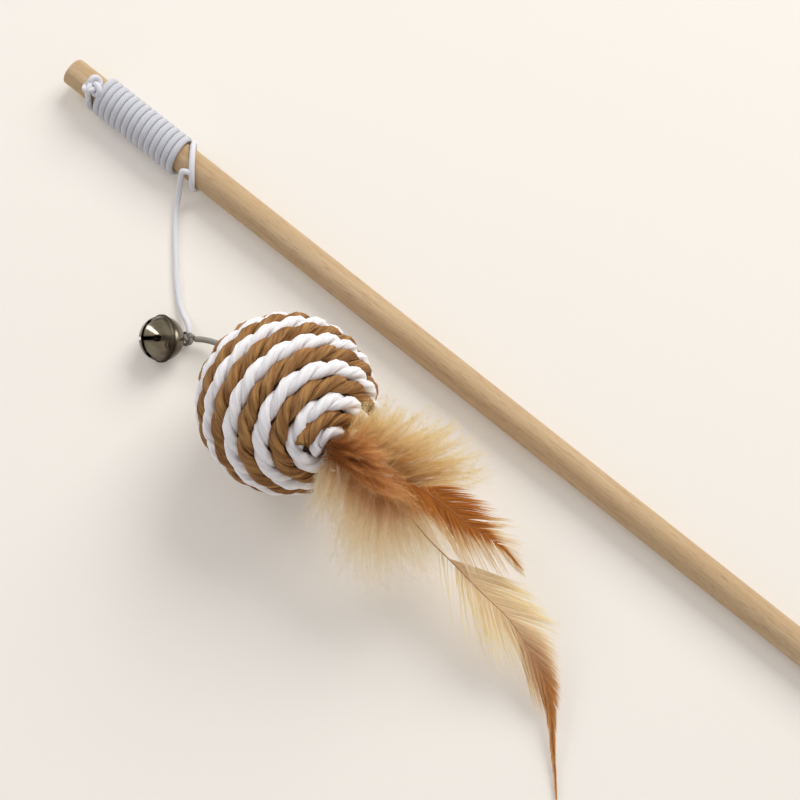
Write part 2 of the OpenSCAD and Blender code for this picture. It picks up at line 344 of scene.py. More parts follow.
# %% Finish of the table and the world
BACKDROP_SHARE = 0.17
WORLD_TINT = (0.98, 0.97, 1.03, 1)
linen = Finish("table_paper", CREAM, roughness=0.9, specular=0.1)
linen.bump(linen.noise(linen.place(), 900.0, detail=2.0), 0.02, 0.2)
linen.blend_in(linen.node("LightPath", out="Is Camera Ray") * BACKDROP_SHARE,
               linen.node("Emission", {"Color": CREAM}))
dress(table, linen)

world = bpy.context.scene.world or bpy.data.worlds.new("world")
bpy.context.scene.world = world
world.use_nodes = True
sky = Nodes(world.node_tree)
sky.tree.nodes.clear()
to_eye, in_gloss, in_glass = (sky.node("LightPath", out=f"Is {kind} Ray")
                              for kind in ("Camera", "Glossy", "Transmission"))
shown = to_eye.math("MAXIMUM", in_gloss.math("MAXIMUM", in_glass))
fill = sky.node("Background", {"Color": WORLD_TINT, "Strength": WORLD_LEVEL})
plain = sky.node("Background", {"Color": CREAM})
sky.feed(sky.tree.nodes.new("ShaderNodeOutputWorld").inputs["Surface"],
         sky.node("MixShader", (shown, fill, plain)))

# %% [markdown]
# ## The rod
#
# The rod is a turned dowel of pale hardwood. Its solid is already right, so only the finish is
# made: a long faint figure, and a grain and short darker pores that run along the rod.

# %% Finish of the wood
wood = Finish("rod_wood", tone(200, 164, 122), roughness=0.55, specular=0.3)
figure = wood.noise(wood.place(scale=(9, 120, 120)), 1.0, detail=4.0, rough=0.6, Distortion=0.6)
grain = wood.noise(wood.place(scale=(60, 1500, 1500)), 1.0, detail=3.0, rough=0.6)
pores = wood.noise(wood.place(scale=(260, 4200, 4200)), 1.0, detail=1.0).between(0.60, 0.72)
tint = wood.mix(figure.between(0.3, 0.7), tone(211, 185, 147), tone(194, 164, 123))
tint = wood.mix(grain.between(0.35, 0.75) * 0.5, tint, tone(173, 138, 96))
tint = wood.mix(pores * 0.45, tint, tone(134, 95, 62))
wood.color(tint)
wood.rough(0.48 + grain * 0.2)
wood.bump(grain * 0.5 - pores, 0.03, 0.6)
dress(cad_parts["rod"], wood)

# %% [markdown]
# ## Sweeping an outline along a line
#
# Cord, rope and quills are all one idea: an outline that runs along a line. A flat grid is rolled
# up round the line and its two long edges are merged. The grid's own UV map then runs round the
# tube and along it, which is what braid and creases follow.


# %% The sweep
SAME_POINT, END_RIM = 1e-4 * MM, 0.35 * MM


def smooth_line(points, steps):
    """A Catmull-Rom line through the points."""
    line = []
    for i in range(len(points) - 1):
        a, b = points[max(i - 1, 0)], points[i]
        c, d = points[i + 1], points[min(i + 2, len(points) - 1)]
        for j in range(steps):
            u = j / steps
            line.append(b + ((c - a) * u + (2 * a - 5 * b + 4 * c - d) * u * u
                             + (3 * b - a - 3 * c + d) * u ** 3) / 2)
    return [*line, points[-1].copy()]


def ahead_of(line, i):
    return (line[min(i + 1, len(line) - 1)] - line[max(i - 1, 0)]).normalized()


def oval(wide, high, sides):
    """An outline: half its width, half its height and its number of corners."""
    return [(wide * math.cos(math.tau * k / sides), high * math.sin(math.tau * k / sides))
            for k in range(sides)]


def distances(line):
    """How far along a line each of its points lies."""
    return [0.0, *itertools.accumulate((b - a).length for a, b in zip(line, line[1:]))]


def line_length(line):
    return distances(line)[-1]


def sweep(name, line, outward, outline, sizes=None, wobble=None, hollow=0.0):
    """Rolls a grid into a tube with this outline along a line. outward is one up for all rings or
    one for each, sizes scale the rings, wobble(ring, turn, along) scales single corners, and
    hollow is how deep the ends are sunk."""
    sides, rings = len(outline), len(line)
    if isinstance(outward, Vector):
        outward = [outward] * rings
    far, frames = distances(line), []
    for i in range(rings):
        ahead = ahead_of(line, i)
        side = outward[i].cross(ahead).normalized()
        frames.append((side, ahead.cross(side)))
    bm = bmesh.new()
    uv = bm.loops.layers.uv.new("UVMap")
    bmesh.ops.create_grid(bm, x_segments=sides, y_segments=rings - 1, size=1, calc_uvs=True)
    for v in bm.verts:
        k, i = round((v.co.x + 1) / 2 * sides) % sides, round((v.co.y + 1) / 2 * (rings - 1))
        grow = sizes[i] if sizes else 1
        if wobble:
            grow *= wobble(i, k / sides, far[i])
        side, up = frames[i]
        x, y = outline[k]
        v.co = line[i] + (side * x + up * y) * grow
    for face in bm.faces:
        for loop in face.loops:
            loop[uv].uv.y = far[round(loop[uv].uv.y * (rings - 1))] / MM
    bmesh.ops.remove_doubles(bm, verts=bm.verts, dist=SAME_POINT)
    caps = bmesh.ops.holes_fill(bm, edges=[e for e in bm.edges if e.is_boundary], sides=0)["faces"]
    bmesh.ops.recalc_face_normals(bm, faces=bm.faces)
    if hollow:
        bmesh.ops.inset_individual(bm, faces=caps, thickness=END_RIM, depth=-hollow)
    return piece_of(bm, name)


# %% [markdown]
# ## The elastic cord
#
# The cord is a rubber core in a white knitted sleeve, 1.6 mm thick. The finish draws the sleeve's
# crossing yarns on the UV map, whose v runs in millimetres along the cord.

# %% Finish of the elastic cord
YARNS, YARN_LAY = 8, 1.1


def cord_finish(name, gap_shade, light):
    """The knitted sleeve: two sets of yarns that cross."""
    made = Finish(name, light, roughness=0.75)
    uv = made.node("TexCoord", out="UV")
    around = made.node("SeparateXYZ", (uv,), out="X") * (math.tau * YARNS)
    along = made.node("SeparateXYZ", (uv,), out="Y") * (math.tau / YARN_LAY * 2)
    yarn = (around + along).math("SINE").math("MAXIMUM", (around - along).math("SINE"))
    # Between the yarns, where the bump dips, the colour is the darker one: painted shade.
    made.color(made.mix(yarn.between(-0.6, 0.7), gap_shade, light))
    made.bump(yarn * 0.5 + 0.5, 0.07, 0.7)
    return made


cord_cover = cord_finish("elastic_cord", tone(200, 201, 206), tone(236, 236, 239))
# The winding's copy of the sleeve is darker all over: painted shade between and under its turns.
cord_wound_shaded = cord_finish("elastic_cord_wound_shaded", tone(172, 172, 176), tone(215, 216, 220))
# The link and the bell's knot get a grey copy of the sleeve: painted shade, for where they lie low
# by the bell and under the ball.
cord_shaded = cord_finish("elastic_cord_shaded", tone(116, 112, 100), tone(158, 154, 142))

# %% Points of the winding, the hitch and the two free stretches
ROD_R, TIP_R, ROD_LEN, TAPER_LEN = 4.0, 3.9, 400.0, 50.0
CORD_R, TURN_PITCH, TURNS = 0.8, 2.07, 14
FIRST_EDGE_X, FIRST_ANGLE, LEAN, SLACK = 388.3, 115.0, 0.3, 1.0
KNOT_END_ANGLE, UNDERSIDE = 151.0, 270
LAST_ANGLE = 360 * TURNS + UNDERSIDE
HITCH_X, HITCH_LEN, HITCH_FROM, HITCH_TO = 359.32, 7.9, 295, 615.1
OVER_WOOD = CORD_R + 0.06
RINGS_A_TURN = 40


def rod_r_at(x):
    return ROD_R + (TIP_R - ROD_R) * max(x - ROD_LEN + TAPER_LEN, 0) / TAPER_LEN


def over_rod(x, angle, lift):
    """A point over the rod's surface, in metres; angle 90 is the top and 180 the lure's side."""
    r, a = rod_r_at(x) + lift, math.radians(angle)
    return Vector((x, -r * math.cos(a), r * math.sin(a))) * MM


def winding_x(angle):
    slack = SLACK * (max(360 - angle, 0) / (360 - FIRST_ANGLE)) ** 2
    lean = LEAN * (math.cos(math.radians(angle)) - 1)
    return FIRST_EDGE_X - TURN_PITCH * (angle - 360) / 360 + lean + slack


def hitch_x(angle):
    return HITCH_X - HITCH_LEN * (1 - math.cos(math.radians(min(max(angle - 360, 0), 180)))) / 2


def in_mm(*places):
    """Points that are written in millimetres."""
    return [Vector(p) * MM for p in places]


step = 360 / RINGS_A_TURN
coil = [over_rod(winding_x(a), a, OVER_WOOD) for a in np.arange(KNOT_END_ANGLE, LAST_ANGLE, step)]
winding_foot = over_rod(winding_x(LAST_ANGLE), UNDERSIDE, OVER_WOOD)
winding_end = winding_foot - Vector((0, 2 * CORD_R, 0)) * MM
winding_line = [*coil, winding_foot, winding_end]
hitch_line = [winding_end, *[over_rod(hitch_x(a), a, OVER_WOOD)
                             for a in np.arange(HITCH_FROM, HITCH_TO, step)]]
LEAD = in_mm(
    (355.4, 4.1, 3.3), (355, 5.5, 1.2), (354.4, 6.7, -1.2), (353.4, 8.7, -3.1), (352, 11, -4.3),
    (349.8, 13.9, -4.7), (347, 17, -4.7), (344.2, 20.1, -4.7), (341.2, 23.2, -4.7),
    (338.2, 26.3, -4.6), (335.2, 29.1, -4.6), (332.4, 31.4, -4.4), (329.7, 33, -3.8),
    (327.4, 34.1, -2.9), (325.6, 35.2, -2.2), (324.1, 36.6, -2.1))
LINK = in_mm((322.2, 36.6, -2.3), (320, 35.2, -2), (317, 34.2, -1), (313.7, 33.8, 0.6),
             (310.4, 33.8, 2.4))
TAIL = in_mm((352.9, 3.0, 3.75), (353.6, 3.25, 3.85), (354.6, 3.65, 3.72), (355.4, 4.1, 3.3),
             (355.3, 4.45, 2.78))
BALL_AT = Vector((286, 39.5, 18.15)) * MM
BALL_TILT, BALL_TURN = math.radians(57.4), math.radians(166.1)
ball_frame = (Matrix.Translation(BALL_AT) @ Matrix.Rotation(BALL_TURN, 4, "Z")
              @ Matrix.Rotation(BALL_TILT, 4, "Y"))
BALL_R, ROPE_R, ROPE_LINE_R = 23.35, 2.05, 21.3
BORE_LAST, STOP_KNOT_Z = -6.35, -1.92
bore = [ball_frame @ (Vector((0, 0, z)) * MM)
        for z in (*np.arange(-BALL_R - ROPE_R, BORE_LAST + 0.001, 2 * ROPE_R), STOP_KNOT_Z)]
lead_line, link_line = smooth_line(LEAD, 4), smooth_line([*LINK, *bore], 4)
tail_line = smooth_line(TAIL, 6)
print("lead", round(line_length(lead_line) / MM, 1), "mm, link",
      round(line_length(link_line) / MM, 1), "mm")


# %% Sweep the cord
def out_of_rod(p):
    return Vector((0, p.y, p.z)).normalized()


UP, ALONG_ROD = Vector((0, 0, 1)), Vector((1, 0, 0))
CORD_SIDES, PRESSED_R = 16, 0.99


def cord_piece(name, line, outward, node, body, finish=cord_cover, wide=CORD_R, high=CORD_R):
    """A stretch of cord; wide and high are half of its outline's sides in millimetres."""
    piece = sweep(name, line, outward, oval(wide * MM, high * MM, CORD_SIDES))
    return stand_in(piece, finish, body, node)


winding = cord_piece("winding_cord", winding_line, [out_of_rod(p) for p in winding_line],
                     "cord_winding", "wand", cord_wound_shaded, PRESSED_R)
cord_piece("hitch_cord", hitch_line, [out_of_rod(p) for p in hitch_line], "cord_hitch", "wand")
lead = cord_piece("lead_cord", lead_line, UP, "cord_lead", "lead")
link = cord_piece("link_cord", link_line, UP, "cord_link", "link", cord_shaded)
cord_piece("hitch_tail", tail_line, ALONG_ROD, None, "wand")
print("winding faces:", len(winding.data.polygons))

# %% [markdown]
# ## The knots
#
# The hitch crosses its own end, which leaves it as the lead. An overhand knot is close to a
# trefoil that was cut open: the cord is swept along that curve and its two ends cross. One runs
# into the winding's first turn and the other is the short free end.


# %% Tie the knots
def trefoil(centre, across, up, size, start, end, steps=60):
    """Part of a trefoil in the plane of two directions, from one share of its length to another."""
    out = across.cross(up)
    line = []
    for i in range(steps + 1):
        t = math.tau * (start + (end - start) * i / steps)
        x = math.sin(t) + 2 * math.sin(2 * t)
        y = math.cos(t) - 2 * math.cos(2 * t)
        line.append(centre + (across * x + up * y - out * math.sin(3 * t)) * size)
    return line


TIP_KNOT_X, TIP_KNOT_CORD_R, BELL_KNOT_CORD_R = 390.1, 0.77, 0.58
KNOT_SIZE, KNOT_OUT, KNOT_LEAN = 0.84 * MM, 5.45 * MM, math.radians(15)
BELL_KNOT_SIZE = 0.38 * MM
knot_up = Vector((0, math.sin(KNOT_LEAN), math.cos(KNOT_LEAN)))
knot_side = Vector((0, math.cos(KNOT_LEAN), -math.sin(KNOT_LEAN)))
tip_centre = Vector((TIP_KNOT_X * MM, 0, 0)) + knot_up * KNOT_OUT
knot_x = (ALONG_ROD - knot_side).normalized()
knot_y = -(ALONG_ROD + knot_side).normalized()


def in_knot(x, y, height):
    return tip_centre + (knot_x * x + knot_y * y + knot_up * height) * KNOT_SIZE


into_winding = [over_rod(winding_x(a), a, OVER_WOOD)
                for a in (KNOT_END_ANGLE + 15, KNOT_END_ANGLE + 5)]
tip_line = smooth_line([*into_winding, in_knot(-1.5, -1.95, 0.8), in_knot(-0.1, -1.1, 0.9),
                        *trefoil(tip_centre, knot_x, knot_y, KNOT_SIZE, 0.03, 0.95, 24),
                        in_knot(-0.5, -1.25, -0.9), in_knot(0.9, -1.75, -0.5),
                        in_knot(1.9, -2.2, -0.3)], 4)
cord_piece("tip_knot_cord", tip_line, knot_up, "tip_knot", "wand", cord_cover,
           TIP_KNOT_CORD_R, TIP_KNOT_CORD_R)
KNOT_AT = Vector((323.4, 37.5, -2.4)) * MM
bell_line = trefoil(KNOT_AT, view_right, view_up, BELL_KNOT_SIZE, 0.02, 0.96)
bell_knot = cord_piece("bell_knot_cord", bell_line, back, "bell_knot", "lead", cord_shaded,
                       BELL_KNOT_CORD_R, BELL_KNOT_CORD_R)
for cord, line, far_end, more in ((lead, lead_line, "knot", {"with_pieces": [bell_knot]}),
                                  (link, link_line, "object", {})):
    line_length(line)

# %% [markdown]
# ## The jingle bell
#
# Each half is pressed from sheet and crimped to the other at the seam. A profile of the sheet is
# spun round the bell's axis, and the lower half gets its crossed slots with round ends.

# %% Spin the two shells
BELL_R, BELL_WALL, SEAM_OUT, SEAM_T = 6.0, 0.4, 0.4, 0.35
SLOT_HALF, SLOT_END_R, SLOT_REACH, TOOL_Z, TOOL_DEEP = 0.5, 0.9, 4.2, -5, 8
EYE_TO_KNOT, EYE_UP = 1.9, 7.55
bell_frame = Matrix.Translation(KNOT_AT)
for degrees, axis in ((235.6, "Z"), (125.6, "Y"), (24.9, "Z")):
    bell_frame = bell_frame @ Matrix.Rotation(math.radians(degrees), 4, axis)
bell_frame = bell_frame @ Matrix.Translation(Vector((EYE_TO_KNOT, 0, -EYE_UP)) * MM)
BELL_STEPS = 128


def arc(radius, first, last, count):
    return [(radius * math.cos(a), radius * math.sin(a)) for a in np.linspace(first, last, count)]


def shell_profile():
    """The cut sheet of one half: up the outside to the pole and back down the inside."""
    rim, edge = BELL_R + SEAM_OUT, 0.1
    flange = [(BELL_R - BELL_WALL, 0.01), (rim - edge, 0.01), (rim, edge), (rim, SEAM_T - edge),
              (rim - edge, SEAM_T), (BELL_R + 0.12, SEAM_T + 0.02)]
    first = math.asin((SEAM_T + 0.15) / BELL_R)
    return [*flange, *arc(BELL_R, first, math.pi / 2, 33),
            *arc(BELL_R - BELL_WALL, math.pi / 2, 0.01, 25)]


def shell(name, upward):
    bm = bmesh.new()
    points = [bm.verts.new((x * MM, 0, z * upward * MM)) for x, z in shell_profile()]
    edges = [bm.edges.new(pair) for pair in zip(points, points[1:] + points[:1])]
    bmesh.ops.spin(bm, geom=points + edges, cent=(0, 0, 0), axis=(0, 0, 1),
                   angle=math.tau, steps=BELL_STEPS, use_merge=True)
    bmesh.ops.remove_doubles(bm, verts=bm.verts, dist=0.002 * MM)
    bmesh.ops.recalc_face_normals(bm, faces=bm.faces)
    return piece_of(bm, name)


def cut(piece, cutters):
    """Cuts tools out of a piece with Boolean modifiers and keeps the result."""
    for tool in cutters:
        made = piece.modifiers.new("cut", "BOOLEAN")
        made.operation, made.object, made.solver = "DIFFERENCE", tool, "EXACT"
    mesh = kept_mesh(piece)
    piece.modifiers.clear()
    piece.data = mesh
    for tool in cutters:
        bpy.data.objects.remove(tool)


def tool_place(turn, x):
    """Where a tool stands on the lower pole: turned, and this far out from the axis."""
    return Matrix.Rotation(turn, 4, "Z") @ Matrix.Translation((x * MM, 0, TOOL_Z * MM))


def slot_tool(turn):
    """A bar for one arm of the crossed slots."""
    bm = bmesh.new()
    size = Matrix.Diagonal((2 * SLOT_REACH * MM, 2 * SLOT_HALF * MM, TOOL_DEEP * MM, 1))
    bmesh.ops.create_cube(bm, size=1, matrix=tool_place(turn, 0) @ size)
    return piece_of(bm, "slot_tool")


def hole_tool(turn, side):
    """A round bar for an arm's end."""
    bm = bmesh.new()
    bmesh.ops.create_cone(bm, cap_ends=True, segments=40, radius1=SLOT_END_R * MM,
                          radius2=SLOT_END_R * MM, depth=TOOL_DEEP * MM,
                          matrix=tool_place(turn, side * SLOT_REACH))
    return piece_of(bm, "hole_tool")


upper, lower = shell("bell_upper", 1), shell("bell_lower", -1)
ARMS = (0, math.pi / 2)
cut(lower, [slot_tool(t) for t in ARMS] + [hole_tool(t, side) for t in ARMS for side in (-1, 1)])

# %% Finish of the bell
# Near the seam and round the slots the plating goes dark brown: partly tarnish, partly painted
# shade in these recesses.
SEAM_TARNISH_AND_SHADE, SLOT_TARNISH_AND_SHADE, CREASE = 2.1, 0.9, math.radians(35)
plating = Finish("bell_metal", tone(122, 118, 106), metallic=1.0, roughness=0.14)
smudge = plating.noise(plating.place(), 420.0, detail=4.0, rough=0.6)
stain = plating.noise(plating.place(), 160.0, detail=2.0)
tarnish_and_shade = plating.mark("tarnish_and_shade")
tint = plating.mix(stain.between(0.35, 0.7), tone(126, 121, 108), tone(96, 86, 73))
# Where the mark is high the colour goes towards dark brown: tarnish and painted shade.
plating.color(plating.mix((tarnish_and_shade + stain * 0.6 - 0.3).between(0.1, 0.9), tint, tone(52, 44, 34)))
plating.rough(0.1 + smudge.between(0.4, 0.8) * 0.2 + tarnish_and_shade * 0.3)
plating.bump(stain, 0.08, 0.5)
# Each point gets a mark: 1 at the seam, fading over a few millimetres, and high beside the lower
# half's slots.
for shell_piece, node in ((upper, "bell_upper_shell"), (lower, "bell_lower_shell")):
    mesh = shell_piece.data
    tarnish_and_shade_marks = mesh.attributes.new("tarnish_and_shade", "FLOAT", "POINT")
    for v, mark in zip(mesh.vertices, tarnish_and_shade_marks.data):
        from_seam, from_slot = abs(v.co.z) / MM, min(abs(v.co.x), abs(v.co.y)) / MM
        near = max(0, 1 - from_seam / SEAM_TARNISH_AND_SHADE)
        if v.co.z < 0:
            near = max(near, 0.8 - max(from_slot - SLOT_HALF, 0) / SLOT_TARNISH_AND_SHADE)
        mark.value = near
    mesh.transform(bell_frame)
    mesh.polygons.foreach_set("use_smooth", [True] * len(mesh.polygons))
    mesh.set_sharp_from_angle(angle=CREASE)
    stand_in(shell_piece, plating, "bell", node)
dress(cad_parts["bell_eye"], plating)
print("bell centre:", tuple(round(c / MM, 1) for c in bell_frame.translation))

# %% Finish of the pellet
steel = Finish("pellet_steel", tone(150, 150, 150), metallic=1.0, roughness=0.3)
steel.rough(0.2 + steel.noise(steel.place(), 600.0).between(0.3, 0.8) * 0.3)
dress(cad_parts["bell_pellet"], steel)

# %% [markdown]
# ## The ball of paper rope
#
# Two ropes, one white and one brown, lie side by side in a spiral from pole to pole. Each rope is
# two plies of rolled paper twisted together, so each ply is swept along a helix round the rope's
# own line, and its outline is creased as rolled paper is.

# %% Lines of the ropes
ROPE_PITCH, ROPE_LAY = 4.26, 15.0
ROPES = {"white": (3.3, 90.6, 192, 0), "brown": (4.25, 231.3, 0, 78)}
RINGS_A_LAY, FINE_A_TURN = 24, 400
OVER_NEIGHBOUR, LIFT_CURVE, LIFT_DRIFT, TUCK_DRIFT = 1.9, 1.3, 1.35, 0.2


def rope_points(from_pole, first_angle, tucked, lifted):
    """The rope's line in even steps, and the direction out of the ball at each point. tucked is
    the turn, in degrees, by which its first end goes on round the pole; lifted is the turn over
    which a first end has come off the ball and lies over its neighbour."""
    start = math.asin(from_pole / ROPE_LINE_R)
    turn_step = math.tau * ROPE_PITCH / (math.pi * ROPE_LINE_R)
    turns = (math.pi - 2 * start) / turn_step
    before, loose = tucked / 360, lifted / 360
    fine, count = [], int(turns * FINE_A_TURN)
    for i in range(-int(before * FINE_A_TURN), count + 1):
        turned_by = turns * i / count
        off = max(loose - turned_by, 0)
        sunk_by = turned_by * TUCK_DRIFT if i < 0 else turned_by + off * LIFT_DRIFT
        tilt_angle = start + turn_step * sunk_by
        turn_angle = math.radians(first_angle) - math.tau * turned_by
        out = 1 + (OVER_NEIGHBOUR * (off / loose) ** LIFT_CURVE / ROPE_LINE_R if loose else 0)
        fine.append(out * Vector((math.sin(tilt_angle) * math.cos(turn_angle),
                                  math.sin(tilt_angle) * math.sin(turn_angle),
                                  math.cos(tilt_angle))))
    spacing, gone, line = ROPE_LAY / RINGS_A_LAY / ROPE_LINE_R, 0.0, [fine[0]]
    for a, b in zip(fine, fine[1:]):
        gone += (b - a).length
        if gone >= spacing * len(line):
            line.append(b)
    turned = ball_frame.to_3x3()
    return ([BALL_AT + turned @ p * ROPE_LINE_R * MM for p in line],
            [(turned @ p).normalized() for p in line])


def creased(sides, seed, wide, high):
    """The outline of a rolled paper ply: an oval with a few soft folds."""
    rng = random.Random(seed)
    folds = [(n, rng.uniform(0.03, 0.06), rng.uniform(0, math.tau)) for n in (3, 5, 9)]
    return [(x * f, y * f) for k, (x, y) in enumerate(oval(wide, high, sides))
            for f in [1 + sum(a * math.sin(n * math.tau * k / sides + p) for n, a, p in folds)]]


PLY_SIDES, PLY_START = 22, 0.6
PLY_OUT, PLY_WIDE, PLY_HIGH, PLY_HOLLOW = 1.06 * MM, 1.5 * MM, 1.22 * MM, 1.2 * MM
DENTS_AROUND, DENTS_ALONG, DENT, WRINKLE = 1.6, 0.35, 0.1, 0.06


def ply(name, line, outward, start, seed):
    """One of a rope's two plies."""
    points, ups = [], []
    for i, (p, n) in enumerate(zip(line, outward)):
        ahead = ahead_of(line, i)
        side = n.cross(ahead)
        a = start + math.tau * i / RINGS_A_LAY
        out = n * math.cos(a) + side * math.sin(a)
        points.append(p + out * PLY_OUT)
        ups.append(out)
    shift = random.Random(seed).uniform(0, 50)

    def dented(i, turn, gone):
        around_ply = Vector((math.cos(math.tau * turn), math.sin(math.tau * turn)))
        at = Vector((around_ply.x * DENTS_AROUND + shift, around_ply.y * DENTS_AROUND,
                     gone / MM * DENTS_ALONG))
        return 1 + DENT * noise.noise(at) + WRINKLE * noise.noise(at * 3)

    return sweep(name, points, ups, creased(PLY_SIDES, seed, PLY_WIDE, PLY_HIGH), wobble=dented,
                 hollow=PLY_HOLLOW)


def joined(name, parts):
    """Several pieces made one."""
    with bpy.context.temp_override(active_object=parts[0], selected_editable_objects=parts):
        bpy.ops.object.join()
    parts[0].name = name
    return parts[0]


# %% Finishes of the paper
def paper_finish(name, base, light, dark, crease_shade):
    """Rolled paper: creases run along the ply, which is the UV map's v."""
    made = Finish(name, base, roughness=0.72, specular=0.25)
    fold = made.noise(made.place((13, 0.16, 1), "UV"), 1.0, detail=4.0, rough=0.65, Distortion=0.5)
    broad = made.noise(made.place((5, 0.12, 1), "UV"), 1.0, detail=2.0)
    fibre = made.noise(made.place(), 1400.0, detail=2.0)
    # Lighter where the paper bulges: partly uneven tone, partly painted highlight.
    tint = made.mix(broad.between(0.35, 0.68), base, light)
    # Darker in the folds and darkest deep in them: painted shade in the creases.
    tint = made.mix(fold.between(0.5, 0.66) * 0.85, tint, dark)
    tint = made.mix(fold.between(0.62, 0.74) * 0.7, tint, crease_shade)
    made.color(tint)
    made.rough(0.62 + fibre * 0.25)
    made.bump(fold * -0.9 + broad * 0.5 + fibre * 0.1, 0.35, 0.9)
    return made


# The last two tones of each paper are painted shade for its creases, and the second is partly a
# painted highlight.
paper = {
    "white": paper_finish("rope_white_paper", tone(253, 249, 248), tone(255, 255, 254),
                          tone(240, 234, 234), tone(208, 196, 192)),
    "brown": paper_finish("rope_brown_paper", tone(134, 90, 46), tone(186, 140, 84),
                          tone(94, 58, 28), tone(58, 32, 14)),
}

# %% Lay the ropes
for k, (tint_name, start_of_rope) in enumerate(ROPES.items()):
    line, outward = rope_points(*start_of_rope)
    plies = [ply(f"{tint_name}_ply_{j}", line, outward, math.pi * j + PLY_START, 10 * k + j)
             for j in (0, 1)]
    rope = stand_in(joined(f"rope_{tint_name}_plies", plies), paper[tint_name], "lure",
                    f"rope_{tint_name}")
    print(rope.name, round(line_length(line) / MM), "mm,", len(rope.data.polygons), "faces")

# %% Finishes of what lies inside the ball
foam = Finish("core_foam", tone(150, 118, 84), roughness=0.9)
foam.bump(foam.noise(foam.place(), 700.0), 0.2, 0.6)
dress(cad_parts["ball_core"], foam)
glue = Finish("plug_glue", tone(90, 54, 26), roughness=0.6)
glue.color(glue.mix(glue.noise(glue.place(), 500.0), tone(98, 60, 30), tone(66, 38, 18)))
dress(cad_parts["feather_plug"], glue)
dress(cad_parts["ball_stop_knot"], cord_cover)

# %% [markdown]
# ## Feathers
#
# A hackle feather is a thin shaft with hundreds of flat barbs on each side. Down is barbs with no
# order, and each barb carries finer side hairs, the barbules, which make it look soft. All of them
# are strands: flat, tapering curves, turned into one mesh. Attributes are kept for the finish: how
# far from its root a point lies, a chance tint of the strand, and where on the shaft it stands.


# %% Strands from curves
STRAND_LIFT = 0.08 * MM


def strands(name, paths, widths, marks, facing=None):
    """paths holds the points of each strand, widths its half width in metres at each point, marks
    the attributes of each point, and facing, where given, what each strand's flat side looks at."""
    count, steps = paths.shape[:2]
    curve = bpy.data.curves.new(name, "CURVE")
    curve.dimensions, curve.extrude = "3D", MM
    placed = np.concatenate([paths, np.ones((count, steps, 1))], axis=2).reshape(count, -1)
    tilts = np.repeat(np.linspace(0, 97 * math.pi, count)[:, None], steps, axis=1)
    for points, width, tilt in zip(placed, widths / MM, tilts):
        spline = curve.splines.new("POLY")
        spline.points.add(steps - 1)
        spline.points.foreach_set("co", points)
        spline.points.foreach_set("radius", width)
        spline.points.foreach_set("tilt", tilt)
    holder = add(name, curve)
    mesh = kept_mesh(holder)
    bpy.data.objects.remove(holder)
    mesh.name = name
    if facing is not None:
        ahead = np.gradient(paths, axis=1)
        half = unit(np.cross(ahead, facing[:, None, :])) * widths[:, :, None]
        both = np.stack([paths - half, paths + half], axis=2)
        mesh.vertices.foreach_set("co", both.astype(np.float32).ravel())
        mesh.update()
    for label, values in marks.items():
        spread = np.repeat(np.broadcast_to(values, (count, steps)).ravel(), 2)
        mesh.attributes.new(label, "FLOAT", "POINT").data.foreach_set("value", spread)
    mesh.polygons.foreach_set("use_smooth", [True] * len(mesh.polygons))
    return add(name, mesh)


def unit(vectors):
    """The vectors at length 1."""
    return vectors / np.maximum(np.linalg.norm(vectors, axis=-1, keepdims=True), 1e-12)


def keep_over_table(piece):
    """Strands that would dip into the table lie on it."""
    mesh = piece.data
    at = np.empty(len(mesh.vertices) * 3, dtype=np.float32)
    mesh.vertices.foreach_get("co", at)
    at = at.reshape(-1, 3)
    at[:, 2] = np.maximum(at[:, 2], table_z(at[:, 0]) + STRAND_LIFT)
    mesh.vertices.foreach_set("co", at.ravel())
    mesh.update()


def keep_off_ball(paths, clear):
    """Pushes points that would be in the ropes out of the ball, each path by its own measure."""
    out = paths - np.array(BALL_AT)
    far = np.linalg.norm(out, axis=-1, keepdims=True)
    return np.array(BALL_AT) + out * np.maximum(1, (BALL_R + clear) * MM / far)


def clear_of_ball(path):
    """How far the nearest point lies from the ropes, in millimetres; below 0 it is in them."""
    return np.linalg.norm(path - np.array(BALL_AT), axis=-1).min() / MM - BALL_R


# %% Finish of feathers
def feather_finish(name, colours, far_colours=(), turn_at=(0.6, 0.78), through=0.4,
                   streaks=0.35, gloss=0.25):
    """colours is a ramp from root to tip, as rows of a place, red, green and blue. far_colours is
    the one of a hackle's far end, which takes over between two places of the shaft. streaks is how
    dark single barbs are, and through how much light thin barbs let through."""
    near_stops, far_stops = ([(place, tone(*color)) for place, *color in rows]
                             for rows in (colours, far_colours))
    made = Finish(name, near_stops[1][1], roughness=0.55, specular=gloss)
    chance = made.mark("tint")
    place = made.mark("along") + chance * 0.2 - 0.1
    shade = made.node("ValToRGB", (place,), stops=near_stops)
    if far_stops:
        shade = made.mix((made.mark("station") + chance * 0.1).between(*turn_at), shade,
                         made.node("ValToRGB", (place,), stops=far_stops))
    streak = (chance.math("FRACT") * 7.0).math("FRACT").between(0.55, 1.0)
    shade = made.mix(streak * streaks, shade, near_stops[0][1])
    made.color(shade)
    made.blend_in(through, made.node("BsdfTranslucent", {"Color": shade}))
    return made


# %% [markdown]
# ## Down
#
# Each plume of down is groomed from guides. A guide starts in the rust-coloured core beside the
# ball and ends where the picture's fluff ends. Barbs are blended from two neighbouring guides,
# scattered more and more toward their tips, and curled; then barbules are set along each barb.
# A few barbs at a time cling together in a lock, which is what makes down look tufted.


